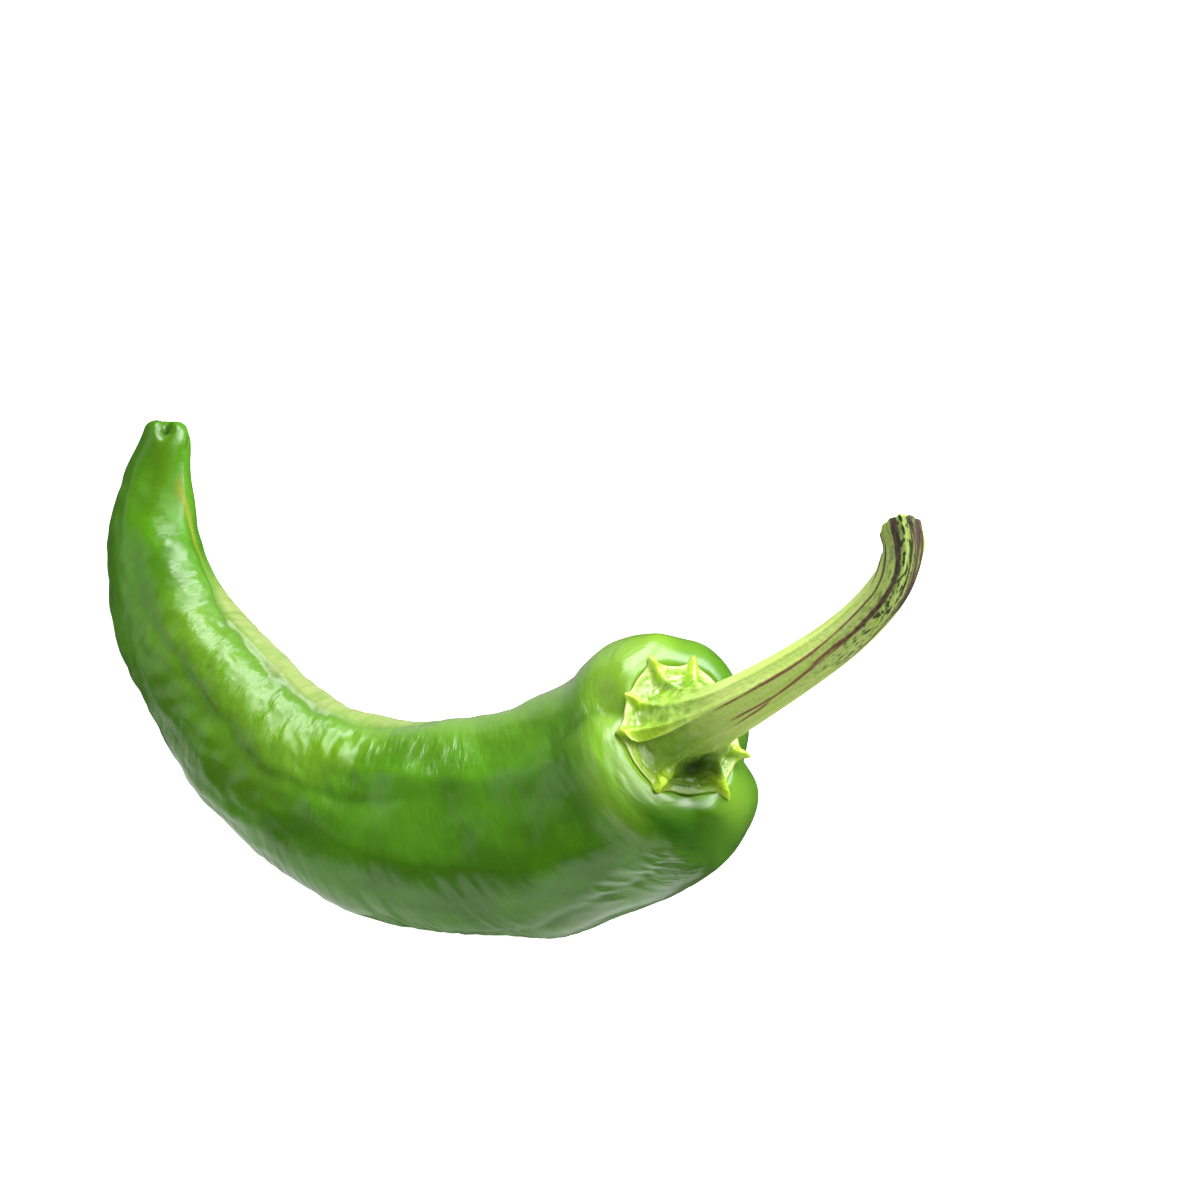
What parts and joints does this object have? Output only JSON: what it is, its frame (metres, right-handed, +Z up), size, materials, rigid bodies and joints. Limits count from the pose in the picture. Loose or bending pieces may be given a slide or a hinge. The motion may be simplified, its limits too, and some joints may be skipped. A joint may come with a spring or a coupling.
{
  "type": "bull horn pepper",
  "caption": "Long curved green pepper pod that tapers to a blunt notched tip, with a toothed calyx and a bent cut stem; a picked vegetable that lies on its side.",
  "frame": {"origin": "middle of the box round the whole pepper, at the surface that it lies on", "axes": "+X towards the stem's end, +Y towards the pod's tip, +Z up, away from the surface"},
  "size_m": [0.1536, 0.0989, 0.0683],
  "materials": {
    "pepper_skin": "glossy, waxy, fine cross wrinkles",
    "calyx_and_stem": "satin, ribbed, purple-brown stripes along the stem"
  },
  "bodies": {
    "root": {"pod": "pepper_skin", "calyx_stem": "calyx_and_stem"}
  },
  "joints": []
}
